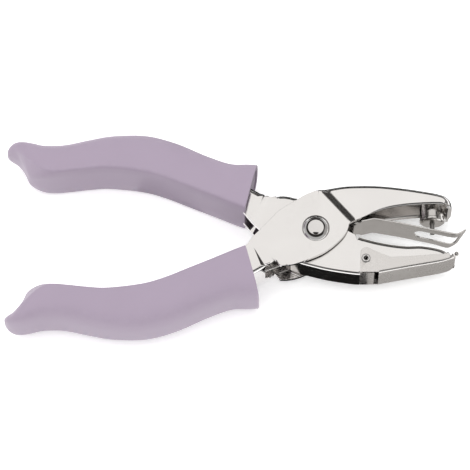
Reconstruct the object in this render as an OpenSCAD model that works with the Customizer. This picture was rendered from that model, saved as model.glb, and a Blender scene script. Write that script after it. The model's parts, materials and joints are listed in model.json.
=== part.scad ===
// Plier-style single-hole punch: two pressed levers on one rivet, soft grips,
// a punch pin in the upper jaw, a die and a swing-out chip catcher in the lower jaw.
// The tool lies flat: +X runs from the pivot to the jaws, +Y to the upper jaw, +Z up.

/* [Overall size] */
// Distance from the pivot to the nose of the upper jaw
jaw_length = 45.6; // [36:0.1:60]
// Distance from the pivot to the tail of the grips
handle_length = 103.3; // [84:0.1:130]

/* [Pressed levers] */
// Sheet thickness of both levers
sheet = 1.3; // [1:0.05:1.6]
// Width of the inner lever, measured across its two side plates
inner_width = 10.6; // [8.8:0.1:13]
// Gap on each side between the inner lever and the outer lever, filled by a washer
washer_gap = 0.8; // [0.5:0.05:1.2]
// How far each side of the outer lever steps in where its jaw begins
jaw_step = 0.9; // [0.6:0.05:1.1]

/* [Pivot] */
// Diameter of the pivot rivet's shank
rivet_d = 5.2; // [4:0.1:6.4]
// Diameter of the rivet's domed head
rivet_head_d = 9.1; // [8:0.1:11]
// Height of the domed head above the lever
rivet_head_h = 2.0; // [1.4:0.1:2.4]
// Running clearance around the rivet, on the radius
pivot_play = 0.05; // [0.02:0.01:0.1]

/* [Punch and die] */
// Diameter of the punched hole
pin_d = 1.6; // [1.2:0.1:2.4]
// Radial gap between the pin and the die
die_play = 0.16; // [0.1:0.01:0.3]
// Length of pin that stands out below its holder
pin_reach = 3.7; // [3:0.1:4.5]
// Diameter of the round punch holder
holder_d = 8.4; // [7:0.1:10]

/* [Stripper strip] */
// Thickness of the spring strip that pushes the paper off the pin
strip_thick = 0.5; // [0.4:0.05:0.7]
// How far each edge of the strip lies inside the upper jaw's side
strip_inset = 0.5; // [0:0.05:1.4]
// Width of the slot that the pin passes through
slot_width = 6; // [4:0.1:7]

/* [Chip catcher] */
// Sheet thickness of the catcher
catcher_sheet = 0.5; // [0.4:0.05:0.7]
// Gap on each side between the catcher and the lower jaw
catcher_gap = 0.15; // [0.1:0.01:0.3]
// Head diameter of the hollow rivets that the catcher turns on
catcher_head_d = 3.0; // [2.6:0.1:3.6]

/* [Grips] */
// Thickness of the grip material over the sides of the levers
grip_wall = 2.6; // [2.1:0.1:4]
// Number of rings along each grip
grip_rings = 46; // [30:1:70]

/* [Hidden] */

// half widths, counted from the middle plane of the tool
inner_half = inner_width / 2;
inner_void = inner_half - sheet;
outer_face = inner_half + washer_gap + sheet;
outer_void = inner_half + washer_gap;
jaw_face = outer_face - jaw_step;
jaw_void = jaw_face - sheet;
catch_void = inner_half + catcher_gap;
catch_face = catch_void + catcher_sheet;
grip_half = outer_face + grip_wall;

// lengthwise stretch: the middle keeps its size while jaws and handles grow
jaw_root = 14;
neck_end = 26;
tip_x = 49.6;
drawn_jaw = 45.6;
drawn_handle = 103.3;
function stretch(x) = x > jaw_root
    ? jaw_root + (x - jaw_root) * (jaw_length - jaw_root) / (drawn_jaw - jaw_root)
    : x < -neck_end
        ? -neck_end + (x + neck_end) * (handle_length - neck_end) / (drawn_handle - neck_end)
        : x;
function place(points) = [for (p = points) [stretch(p[0]), p[1]]];
function flip(points) = [for (p = points) [p[0], -p[1]]];
function rest(points) = [for (i = [1:len(points) - 1]) points[i]];
function turned(points) = [for (i = [len(points) - 1:-1:0]) points[i]];

// the strip's tip and the grips' tails set the middle of the tool's length
origin_x = (stretch(tip_x) - handle_length) / 2;
lift = [-origin_x, 0, grip_half];

// a smooth curve through a few points
function blend4(a, b, c, d, t) =
    0.5 * (2 * b + (c - a) * t + (2 * a - 5 * b + 4 * c - d) * t * t
    + (3 * b - a - 3 * c + d) * t * t * t);
function curve(points, steps) = let (last = len(points) - 1) concat(
    [for (i = [0:last - 1], k = [0:steps - 1])
        blend4(points[max(i - 1, 0)], points[i], points[i + 1], points[min(i + 2, last)], k / steps)],
    [points[last]]);

// the same curve moved sideways, to its left
function unit(v) = v / max(norm(v), 0.000001);
function heading(points, i) = unit(points[min(i + 1, len(points) - 1)] - points[max(i - 1, 0)]);
function beside(points, d) =
    [for (i = [0:len(points) - 1]) let (h = heading(points, i)) points[i] + d * [-h[1], h[0]]];
function band(points, d) = concat(points, turned(beside(points, d)));

module slab(points, half, low = 0) {
    // two side plates when low is above zero, else one solid across the tool
    if (low > 0) {
        translate([0, 0, low]) linear_extrude(half - low) polygon(points);
        translate([0, 0, -half]) linear_extrude(half - low) polygon(points);
    } else {
        translate([0, 0, -half]) linear_extrude(2 * half) polygon(points);
    }
}

module rounded_end(x, half, r) {
    // plan shape that rounds the nose of a jaw and leaves the rest of the tool whole
    rotate([-90, 0, 0]) translate([0, 0, -60]) linear_extrude(120) union() {
        translate([-200, -30]) square([200 + x - 9, 60]);
        translate([x - 10, -half]) square([10 - r, 2 * half]);
        translate([x - 10, -half + r]) square([10, 2 * (half - r)]);
        translate([x - r, half - r]) circle(r, $fn = 64);
        translate([x - r, r - half]) circle(r, $fn = 64);
    }
}

// ---- handle outline shared by both levers, drawn for the lower handle ----
tang_inner = place([[-88, -23.6], [-80, -24], [-69, -24.6], [-58, -23.4], [-50.4, -21.2], [-42, -17.8],
    [-33.7, -14.2], [-28, -10.6], [-24.6, -7.4], [-21.3, -3.2], [-18.9, -0.7]]);
tang_outer = place([[-15, -12.1], [-20.8, -15.7], [-28, -19.6], [-36, -23.2], [-46.5, -28], [-56.5, -30.8],
    [-67.5, -30.6], [-75.5, -29.2], [-83.7, -27.6], [-88, -27.2]]);
tang_in = curve(tang_inner, 3);
tang_out = curve(tang_outer, 3);

// ---- outer lever: lower handle, upper jaw ----
step_a = [0.5, 13.6];
step_b = [11.1, 1.65];
plate_top = [[-18.9, -0.7], [-15.6, 2.8], [-12.2, 6.4], [-7.6, 9.4], [-3.2, 12.1], step_a];
plate_low = [step_b, [10.6, -0.4], [9, -3.1], [5.7, -6.4], [1.9, -9.1], [-3.2, -11.3], [-7.1, -12.7],
    [-10.9, -13.2], [-12.2, -12.9], [-13.5, -11.2], [-15, -12.1]];
upper_top = place([step_a, [3.4, 14.6], [7, 15.3], [10.6, 15.8], [16.6, 15.95], [22.6, 15.7], [30, 14.8],
    [36, 13.8], [40.5, 12.9], [43.5, 11.9], [45.1, 10.6], [45.6, 9.4], [45.6, 7.9]]);
upper_low = place([[45.6, 7.9], [43.5, 8.55], [40.5, 8.9], [34.5, 8.75], [28.5, 8.2], [22.6, 7], [16.6, 4.6],
    [13.1, 3], step_b]);
jaw_top = curve(upper_top, 3);
jaw_low = curve(upper_low, 3);
roof_line = [for (p = jaw_top) if (p[0] > 2) p];
outer_outline = concat(tang_in, rest(curve(plate_top, 3)), rest(jaw_top), rest(jaw_low),
    rest(curve(plate_low, 3)), rest(tang_out));
step_width = 2.3;
nose_r = 3.2;
bend_a = [2.6, 14.2];
bend_b = [12.6, 2.5];
step_turn = atan2(bend_b[1] - bend_a[1], bend_b[0] - bend_a[0]);

// ---- inner lever: upper handle, lower jaw ----
lower_top = place([[10.4, 0], [13.2, -1.5], [19, -3.4], [25, -4.7], [30, -5.3], [34.5, -5.25], [37, -5.55],
    [40.5, -6.25], [43, -7.3], [44.3, -8.5], [44.4, -9.4]]);
lower_low = concat(place([[44.4, -9.4], [41.4, -10.5], [34.5, -11.6], [20.4, -13.9]]),
    curve([[15, -14.4], [14.6, -15.6], [11.1, -15.35], [3.8, -14.1], [-2, -12.6], [-5.3, -11.6],
    [-8.4, -10.2]], 3));
hub_left = [[-8.4, -10.2], [-12, -6.4], [-15.5, -2.6], [-18.9, 0.7]];
hub_top = [[-15, 12.1], [-13.2, 12.4], [-11.5, 12.9], [-8.9, 12.7], [-6.8, 12.1], [-3.2, 11], [0, 10],
    [4, 7.8], [7, 5], [9.3, 1.9], [10.4, 0]];
inner_plate = concat(curve(lower_top, 3), lower_low, hub_left, turned(flip(tang_in)), turned(flip(tang_out)),
    curve(hub_top, 2));

// ---- punch axis: the pin is square to the radius, so it meets the die on an arc ----
pin_x = stretch(39.1);
holder_low = 4.2;
pin_tip = holder_low - pin_reach;
bed_y = lookup(pin_x, [for (p = lower_top) if (p[0] > 0) [p[0], p[1]]]);
die_radius = norm([pin_x, pin_tip + 0.6]);
die_turn = asin(bed_y / die_radius);
die_x = die_radius * cos(die_turn);
pin_head_y = 8.2;
screw_y = 9.5;
screw_r = 1.5;
stub_r = 2.2;
die_r = 2.2;
roof_y = lookup(pin_x, [for (p = upper_top) if (p[0] < stretch(45)) [p[0], p[1]]]);

// ---- stripper strip ----
strip_half = jaw_face - strip_inset;
knuckle = [13.4, 3.65];
strip_pin_r = 0.6;
knuckle_r = strip_pin_r + 0.06;
strip_path = curve(concat([[knuckle[0], knuckle[1] - knuckle_r - strip_thick / 2]],
    place([[16, 3.1], [18.4, 3.65], [20, 3.75], [22.5, 3.3], [28, 2.25], [35, 0.65], [40.5, -0.6],
    [45.4, -1.7], [46.9, -1.6], [48.2, -0.95], [tip_x - 0.13, -0.1]])), 3);

// ---- catcher ----
hinge_at = [stretch(16.5), -10.3];
ear_rise = curve([[14.7, -8.6], [15.1, -7.2], [16.2, -6.4], [17.5, -6.6], [19.1, -7.5]], 3);
floor_x = stretch(19.9);
catch_nose_r = 2.6;
catch_floor = place([[19.9, -15.5], [30, -13.6], [36.4, -12.5], [41.3, -11.6], [44.6, -10.6], [45.9, -9.8],
    [46.4, -9.1]]);

module across_step(profile) {
    // prism that runs along the step, its profile drawn as distance past the step and height
    translate(bend_a) rotate([0, 0, step_turn]) translate([-150, 0, 0])
        rotate([90, 0, 90]) linear_extrude(300) polygon(profile);
}

module outer_shape() {
    // the lever's outside: full width at the pivot, narrower from the step to the nose
    slope = [[-step_width, outer_face + jaw_step], [step_width, jaw_face]];
    intersection() {
        difference() {
            slab(outer_outline, outer_face);
            for (side = [-1, 1]) across_step([[slope[0][0], side * slope[0][1]],
                [slope[1][0], side * slope[1][1]], [200, side * jaw_face],
                [200, side * (outer_face + 9)], [slope[0][0], side * (outer_face + 9)]]);
        }
        rounded_end(jaw_length, jaw_face, nose_r);
    }
}

module outer_hollow() {
    // the space between the side plates, less the backs that join them
    difference() {
        intersection() {
            across_step([[-200, -outer_void], [0, -outer_void], [step_width, -jaw_void], [200, -jaw_void],
                [200, jaw_void], [step_width, jaw_void], [0, outer_void], [-200, outer_void]]);
            rounded_end(jaw_length - sheet, jaw_void, nose_r - sheet);
        }
        slab(concat(beside(tang_out, 2), turned(beside(tang_out, -sheet))), outer_face + 1);
        slab(concat(beside(roof_line, 2), turned(beside(roof_line, -sheet))), outer_face + 1);
    }
}

module outer_lever() {
    color([0.86, 0.85, 0.84]) translate(lift) difference() {
        outer_shape();
        outer_hollow();
        cylinder(h = 60, r = rivet_d / 2 + pivot_play, center = true, $fn = 64);
        translate([pin_x, roof_y, 0]) rotate([90, 0, 0])
            cylinder(h = 12, r = stub_r + 0.05, center = true, $fn = 48);
    }
}

module inner_lever() {
    color([0.84, 0.83, 0.82]) translate(lift) difference() {
        union() {
            slab(inner_plate, inner_half, inner_void);
            slab(band(turned(flip([for (p = tang_out) if (p[0] < -15.5) p])), -sheet), inner_half);
            slab(band([for (p = curve(lower_top, 3)) if (p[0] > 14 && p[1] > -7.4) p], -sheet), inner_half);
            slab(band([for (p = lower_low) if (p[0] < 14.8) p], -sheet), inner_half);
        }
        cylinder(h = 60, r = rivet_d / 2, center = true, $fn = 64);
        rotate([0, 0, die_turn]) translate([die_radius, 0, 0]) rotate([90, 0, 0])
            cylinder(h = 8, r = die_r, center = true, $fn = 48);
        translate([hinge_at[0], hinge_at[1], 0])
            cylinder(h = 60, r = catcher_head_d / 2 - 0.4, center = true, $fn = 48);
    }
}

module pivot_rivet() {
    dome_r = (pow(rivet_head_d / 2, 2) + pow(rivet_head_h, 2)) / (2 * rivet_head_h);
    seat = outer_face + 0.05;
    color([0.8, 0.79, 0.78]) translate(lift) union() {
        translate([0, 0, -seat - 0.6]) cylinder(h = 2 * seat + 1.2, r = rivet_d / 2, $fn = 64);
        intersection() {
            translate([0, 0, seat]) cylinder(h = rivet_head_h + 1, r = rivet_head_d / 2, $fn = 96);
            translate([0, 0, seat + rivet_head_h - dome_r]) sphere(r = dome_r, $fn = 96);
        }
        translate([0, 0, -seat - 1.4]) cylinder(h = 1.4, r = rivet_head_d / 2 - 0.4, $fn = 96);
    }
}

module pivot_bush() {
    color([0.55, 0.53, 0.5]) translate(lift) difference() {
        cylinder(h = 2 * inner_void, r = rivet_d / 2 + 0.9, center = true, $fn = 64);
        cylinder(h = 30, r = rivet_d / 2, center = true, $fn = 64);
    }
}

module pivot_washers() {
    color([0.5, 0.49, 0.47]) translate(lift) for (side = [-1, 1])
        translate([0, 0, side * (inner_half + washer_gap / 2)]) difference() {
            cylinder(h = washer_gap - 0.1, r = rivet_d / 2 + 3, center = true, $fn = 64);
            cylinder(h = 10, r = rivet_d / 2 + pivot_play, center = true, $fn = 64);
        }
}

module return_spring() {
    // coil round the bush, one leg under each handle's back
    wire = 0.5;
    coil = rivet_d / 2 + 0.9 + wire + 0.3;
    rise = inner_void - 1.1;
    leg = [-17.2, 11.1];
    reach = acos(coil / norm(leg));
    start = reach - atan2(leg[1], leg[0]);
    sweep = 1440 - 2 * start;
    turns = [for (i = [0:92]) let (t = i / 92) [coil * cos(start + sweep * t), coil * sin(start + sweep * t),
        rise * (2 * t - 1)]];
    path = concat([[leg[0], -leg[1], -rise]], turns, [[leg[0], leg[1], rise]]);
    sides = 8;
    last = len(path) - 1;
    ring = [for (i = [0:last]) let (
        way = unit(path[min(i + 1, last)] - path[max(i - 1, 0)]),
        out = unit(cross(way, [0, 0, 1])),
        up = cross(out, way))
        for (k = [0:sides - 1]) path[i] + wire * (cos(360 * k / sides) * out + sin(360 * k / sides) * up)];
    walls = [for (i = [0:last - 1], k = [0:sides - 1]) let (
        a = i * sides + k,
        b = i * sides + (k + 1) % sides)
        each [[a, b, a + sides], [b, b + sides, a + sides]]];
    ends = [[for (k = [sides - 1:-1:0]) k], [for (k = [0:sides - 1]) last * sides + k]];
    color([0.45, 0.44, 0.43]) translate(lift) polyhedron(ring, concat(walls, ends));
}

// ---- grips: rings between the inner and the outer edge of the handle ----
grip_in = [[-23.5, -6.5], [-27, -7.9], [-33.7, -10.8], [-42, -14.3], [-50.4, -17.8], [-58, -20], [-69, -21.3],
    [-75.4, -21], [-82.6, -20.2], [-89.2, -19.6], [-93.2, -19.9], [-95.7, -21], [-97, -23.5], [-98.6, -26.4],
    [-100.9, -28.1], [-102.4, -28.8]];
grip_out = [[-19, -24], [-22.4, -24.2], [-28.1, -24.3], [-36, -27.2], [-46.5, -32], [-56.5, -34.7],
    [-67.5, -34.6], [-75.5, -33.1], [-83.7, -31.3], [-90.6, -31.2], [-94.4, -32], [-97.6, -32.6],
    [-100.2, -32.6], [-102, -31.8], [-103.1, -30.6], [-103.3, -29.8]];
// half thickness along the grip, as a share of the full one
grip_fat = [1, 1, 1, 1, 1, 1, 1, 1, 1, 0.985, 0.95, 0.88, 0.77, 0.62, 0.42, 0.2];
// section of the grip: flat towards the hand's inside, round on its back
section = [[0, -0.8], [0, 0.8], [0.035, 0.93], [0.11, 1], [0.56, 1], [0.72, 0.96], [0.86, 0.84], [0.95, 0.62],
    [1, 0.25], [1, -0.25], [0.95, -0.62], [0.86, -0.84], [0.72, -0.96], [0.56, -1], [0.11, -1],
    [0.035, -0.93]];

function along(values, t) = let (
    last = len(values) - 1,
    i = min(floor(t * last), last - 1),
    f = t * last - i) blend4(values[max(i - 1, 0)], values[i], values[i + 1], values[min(i + 2, last)], f);

module grip_body() {
    lines = grip_rings;
    count = len(section);
    ins = place(grip_in);
    outs = place(grip_out);
    points = [for (i = [0:lines]) let (
        t = i / lines,
        a = along(ins, t),
        b = along(outs, t),
        z = min(along(grip_fat, t), 1) * grip_half)
        for (s = section) [a[0] + (b[0] - a[0]) * s[0], a[1] + (b[1] - a[1]) * s[0], z * s[1]]];
    walls = [for (i = [0:lines - 1], k = [0:count - 1]) let (
        a = i * count + k,
        b = i * count + (k + 1) % count)
        each [[a, a + count, b], [b, a + count, b + count]]];
    ends = [[for (k = [0:count - 1]) k], [for (k = [count - 1:-1:0]) lines * count + k]];
    polyhedron(points, concat(walls, ends));
}

module tang_room(half) {
    // pocket for the handle of a lever
    gap = 0.06;
    slab(concat(beside(tang_in, gap), beside(tang_out, gap)), half + gap);
}

module grip_lower() {
    color([0.72, 0.67, 0.74]) translate(lift) difference() {
        grip_body();
        tang_room(outer_face);
    }
}

module grip_upper() {
    color([0.72, 0.67, 0.74]) translate(lift) mirror([0, 1, 0]) difference() {
        grip_body();
        tang_room(inner_half);
    }
}

module punch_holder() {
    top = roof_y - sheet - 1.3;
    holder_r = holder_d / 2;
    chamfer = 0.3;
    color([0.7, 0.69, 0.67]) translate(lift) translate([pin_x, 0, 0]) rotate([-90, 0, 0]) difference() {
        union() {
            translate([0, 0, holder_low + chamfer])
                cylinder(h = top - holder_low - chamfer, r = holder_r, $fn = 96);
            translate([0, 0, holder_low])
                cylinder(h = chamfer, r1 = holder_r - chamfer, r2 = holder_r, $fn = 96);
            translate([0, 0, top - 0.5]) cylinder(h = roof_y - top + 0.7, r = stub_r, $fn = 64);
        }
        cylinder(h = 30, r = pin_d / 2, $fn = 48);
        translate([0, 0, pin_head_y]) cylinder(h = 12, r = screw_r, $fn = 48);
    }
}

module punch_pin() {
    color([0.62, 0.61, 0.6]) translate(lift) translate([pin_x, 0, 0]) rotate([-90, 0, 0]) union() {
        translate([0, 0, pin_tip]) cylinder(h = screw_y - pin_tip - 0.2, r = pin_d / 2, $fn = 48);
        translate([0, 0, pin_head_y]) cylinder(h = screw_y - pin_head_y, r = screw_r - 0.06, $fn = 48);
    }
}

module pin_screw() {
    color([0.3, 0.29, 0.28]) translate(lift) translate([pin_x, 0, 0]) rotate([-90, 0, 0]) difference() {
        translate([0, 0, screw_y]) cylinder(h = roof_y - screw_y - 0.1, r = screw_r, $fn = 48);
        translate([0, 0, roof_y - 1.9]) cylinder(h = 4, r = 0.85, $fn = 6);
    }
}

module die_bush() {
    color([0.5, 0.49, 0.48]) translate(lift) rotate([0, 0, die_turn]) translate([die_radius, 0, 0])
        rotate([90, 0, 0]) difference() {
            union() {
                translate([0, 0, -0.15]) cylinder(h = sheet + 0.9, r = die_r, $fn = 64);
                translate([0, 0, sheet + 0.25]) cylinder(h = 0.8, r = die_r + 0.8, $fn = 64);
            }
            cylinder(h = 12, r = pin_d / 2 + die_play, center = true, $fn = 48);
        }
}

module stripper_strip() {
    wide_from = 14.8;
    color([0.66, 0.65, 0.63]) translate(lift) difference() {
        union() {
            slab(band(beside(strip_path, -strip_thick / 2), strip_thick), strip_half);
            translate([knuckle[0], knuckle[1], 0])
                cylinder(h = 2 * (jaw_void - 0.3), r = knuckle_r + strip_thick, center = true, $fn = 48);
        }
        translate([knuckle[0], knuckle[1], 0]) cylinder(h = 40, r = knuckle_r, center = true, $fn = 48);
        for (side = [-1, 1]) translate([wide_from - 5, -5, side * (jaw_void + 9.7) - 10]) cube([5, 20, 20]);
        // slot with a round inner end
        rotate([-90, 0, 0]) translate([0, 0, -10]) linear_extrude(20) union() {
            translate([stretch(36), -slot_width / 2]) square([stretch(47.4) - stretch(36), slot_width]);
            translate([stretch(36), 0]) circle(slot_width / 2, $fn = 48);
        }
    }
}

module stripper_pin() {
    color([0.4, 0.39, 0.38]) translate(lift) translate([knuckle[0], knuckle[1], 0])
        cylinder(h = 2 * jaw_void, r = strip_pin_r, center = true, $fn = 48);
}

module chip_catcher() {
    inner_floor = beside(catch_floor, catcher_sheet);
    top_edge = place([[46.4, -9.1], [43.2, -8.75], [40.5, -8.95], [34.4, -9.4], [24.7, -9.9]]);
    color([0.62, 0.6, 0.58]) translate(lift) difference() {
        intersection() {
            slab(concat(catch_floor, top_edge, turned(ear_rise), [[14.7, -15.1], [floor_x, -15.1]]),
                catch_face);
            rounded_end(stretch(46.4), catch_face, catch_nose_r);
        }
        intersection() {
            slab(concat(inner_floor, [[stretch(46), 5], [0, 5], [0, -20], [floor_x - 0.1, -20]]), catch_void);
            rounded_end(stretch(46.4) - catcher_sheet, catch_void, catch_nose_r - catcher_sheet);
        }
        translate([hinge_at[0], hinge_at[1], 0])
            cylinder(h = 60, r = catcher_head_d / 2 - 0.35, center = true, $fn = 48);
    }
}

module catcher_rivets() {
    shank = catcher_head_d / 2 - 0.4;
    color([0.7, 0.69, 0.68]) translate(lift) translate([hinge_at[0], hinge_at[1], 0]) for (side = [0, 1])
        mirror([0, 0, side]) difference() {
            union() {
                translate([0, 0, inner_void - 0.4])
                    cylinder(h = catch_face - inner_void + 0.6, r = shank, $fn = 48);
                translate([0, 0, catch_face + 0.05]) cylinder(h = 0.35, r = catcher_head_d / 2, $fn = 48);
                translate([0, 0, inner_void - 0.4]) cylinder(h = 0.4, r = catcher_head_d / 2, $fn = 48);
            }
            cylinder(h = 30, r = shank - 0.45, $fn = 48);
        }
}

module catcher_detent() {
    // springy tongue that closes the jaw's heel and presses on the catcher
    end = stretch(19.2);
    root = 11.8;
    seat = -14.1;
    low = -15.3;
    color([0.55, 0.54, 0.52]) translate(lift) union() {
        slab([[root, seat], [15.2, seat - 0.1], [15.2, seat + catcher_sheet],
            [root, seat + catcher_sheet + 0.1]], inner_void - 0.02);
        slab([[15, low], [end, low + 0.05], [end, low + 0.05 + catcher_sheet],
            [15 + catcher_sheet, low + catcher_sheet], [15 + catcher_sheet, seat + catcher_sheet],
            [15, seat + catcher_sheet]], inner_void - 0.02);
        slab([[15.3, low], [end, low + 0.05], [end, low + 0.05 + catcher_sheet],
            [15.3, low + catcher_sheet]], inner_half - 0.1);
    }
}

// ---- latch: a bar across the nose and a ball-ended wire ----
latch_root = [stretch(42.4), -9.45];
latch_ball = [stretch(47), -6.6];
latch_turn = atan2(latch_ball[1] - latch_root[1], latch_ball[0] - latch_root[0]);
wire_r = 0.4;

module latch_clip() {
    color([0.5, 0.49, 0.47]) translate(lift) difference() {
        translate([stretch(42), -10, -inner_void]) cube([1.7, 1.2, 2 * inner_void]);
        translate(latch_root) rotate([0, 0, latch_turn]) rotate([0, 90, 0])
            cylinder(h = 10, r = wire_r, center = true, $fn = 32);
    }
}

module latch_wire() {
    reach = norm(latch_ball - latch_root);
    color([0.6, 0.59, 0.57]) translate(lift) translate(latch_root) rotate([0, 0, latch_turn]) union() {
        rotate([0, 90, 0]) cylinder(h = reach, r = wire_r, $fn = 32);
        translate([reach, 0, 0]) sphere(r = 0.75, $fn = 48);
    }
}

outer_lever();
inner_lever();
pivot_rivet();
pivot_bush();
pivot_washers();
return_spring();
grip_upper();
grip_lower();
punch_holder();
punch_pin();
pin_screw();
die_bush();
stripper_strip();
stripper_pin();
chip_catcher();
catcher_rivets();
catcher_detent();
latch_clip();
latch_wire();
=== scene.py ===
import bpy
import bmesh
import json
import math
from mathutils import Vector, Matrix


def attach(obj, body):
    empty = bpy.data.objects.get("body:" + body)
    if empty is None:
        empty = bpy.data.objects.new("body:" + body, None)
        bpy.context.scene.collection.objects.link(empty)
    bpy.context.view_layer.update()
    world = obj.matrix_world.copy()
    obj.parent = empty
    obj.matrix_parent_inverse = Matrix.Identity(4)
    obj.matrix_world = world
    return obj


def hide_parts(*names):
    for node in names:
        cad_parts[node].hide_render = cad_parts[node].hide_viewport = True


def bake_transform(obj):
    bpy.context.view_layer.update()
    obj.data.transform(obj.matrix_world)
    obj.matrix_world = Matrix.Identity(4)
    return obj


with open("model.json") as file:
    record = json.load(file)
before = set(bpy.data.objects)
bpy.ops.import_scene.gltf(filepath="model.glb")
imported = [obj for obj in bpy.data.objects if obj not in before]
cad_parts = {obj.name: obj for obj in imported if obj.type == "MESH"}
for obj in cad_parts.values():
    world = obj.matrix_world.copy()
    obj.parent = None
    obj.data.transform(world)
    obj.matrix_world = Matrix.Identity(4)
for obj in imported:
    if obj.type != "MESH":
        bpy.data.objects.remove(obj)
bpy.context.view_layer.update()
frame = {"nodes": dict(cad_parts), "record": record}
print("frame loaded:", len(frame["nodes"]), "nodes")

mm = 0.001
joints = {j["name"]: j for j in frame["record"]["behaviour"]["joints"]}
pivotAt = Vector(joints["squeeze"]["pos_m"])
catcherAt = Vector(joints["catcher_open"]["pos_m"])


def place(x, y, z=0.0):
    # millimetres from the pivot to the scene
    return pivotAt + Vector((x, y, z)) * mm


# node helpers
def addNode(tree, kind, inputs=None, **settings):
    node = tree.nodes.new(kind)
    for key, value in settings.items():
        setattr(node, key, value)
    for key, value in (inputs or {}).items():
        if isinstance(value, bpy.types.NodeSocket):
            tree.links.new(value, node.inputs[key])
        else:
            node.inputs[key].default_value = value
    return node


def rampOf(tree, factor, stops):
    ramp = addNode(tree, "ShaderNodeValToRGB", {"Fac": factor})
    while len(ramp.color_ramp.elements) < len(stops):
        ramp.color_ramp.elements.new(0.5)
    for element, (at, shade) in zip(ramp.color_ramp.elements, stops):
        element.position = at
        element.color = (shade, shade, shade, 1.0) if isinstance(shade, (int, float)) else (*shade, 1.0)
    return ramp.outputs["Color"]


def shaderGroup(name, inputs, outputs):
    group = bpy.data.node_groups.new(name, "ShaderNodeTree")
    for label, kind, value in inputs:
        socket = group.interface.new_socket(name=label, in_out="INPUT", socket_type=kind)
        socket.default_value = value
    for label, kind in outputs:
        group.interface.new_socket(name=label, in_out="OUTPUT", socket_type=kind)
    return group, addNode(group, "NodeGroupInput"), addNode(group, "NodeGroupOutput")


# edges rubbed by use: brighter or duller where the surface turns sharply; on the vinyl the lighter edge is
# partly wear and partly a painted sheen
def makeEdgeWear():
    group, given, out = shaderGroup("edgeWear", [("Width", "NodeSocketFloat", 0.5),
                                                 ("Scale", "NodeSocketFloat", 900.0)],
                                    [("Mask", "NodeSocketFloat")])
    where = addNode(group, "ShaderNodeTexCoord")
    shape = addNode(group, "ShaderNodeNewGeometry")
    spots = addNode(group, "ShaderNodeTexNoise", {"Vector": where.outputs["Object"],
                                                  "Scale": given.outputs["Scale"],
                                                  "Detail": 5.0, "Roughness": 0.65})
    sharp = addNode(group, "ShaderNodeMapRange", {"Value": shape.outputs["Pointiness"], "From Min": 0.51,
                                                  "From Max": 0.58})
    low = addNode(group, "ShaderNodeMapRange", {"Value": spots.outputs["Fac"], "From Min": 0.38,
                                                "From Max": 0.66})
    both = addNode(group, "ShaderNodeMath", {0: sharp.outputs["Result"], 1: low.outputs["Result"]},
                   operation="MULTIPLY")
    sized = addNode(group, "ShaderNodeMath", {0: both.outputs[0], 1: given.outputs["Width"]},
                    operation="MULTIPLY",
                    use_clamp=True)
    group.links.new(sized.outputs[0], out.inputs["Mask"])
    return group


# handling marks on plated metal: faint smears, hairlines and a slow drift of tone
def makeHandledMetal():
    group, given, out = shaderGroup(
        "handledMetal",
        [("Smear Scale", "NodeSocketFloat", 60.0), ("Line Scale", "NodeSocketFloat", 700.0),
         ("Stretch", "NodeSocketVector", (1.0, 14.0, 1.0))],
        [("Smears", "NodeSocketFloat"), ("Lines", "NodeSocketFloat"), ("Height", "NodeSocketFloat")])
    where = addNode(group, "ShaderNodeTexCoord")
    smear = addNode(group, "ShaderNodeTexNoise", {"Vector": where.outputs["Object"],
                                                  "Scale": given.outputs["Smear Scale"],
                                                  "Detail": 4.0, "Roughness": 0.55, "Distortion": 0.6})
    longer = addNode(group, "ShaderNodeVectorMath", {0: where.outputs["Object"], 1: given.outputs["Stretch"]},
                     operation="MULTIPLY")
    line = addNode(group, "ShaderNodeTexNoise", {"Vector": longer.outputs["Vector"],
                                                 "Scale": given.outputs["Line Scale"],
                                                 "Detail": 3.0, "Roughness": 0.6})
    fine = addNode(group, "ShaderNodeTexNoise", {"Vector": where.outputs["Object"], "Scale": 2600.0,
                                                 "Detail": 2.0})
    mixed = addNode(group, "ShaderNodeMath", {0: line.outputs["Fac"], 1: fine.outputs["Fac"]},
                    operation="ADD")
    group.links.new(smear.outputs["Fac"], out.inputs["Smears"])
    group.links.new(line.outputs["Fac"], out.inputs["Lines"])
    group.links.new(mixed.outputs[0], out.inputs["Height"])
    return group


edgeWear = makeEdgeWear()
handledMetal = makeHandledMetal()


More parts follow.
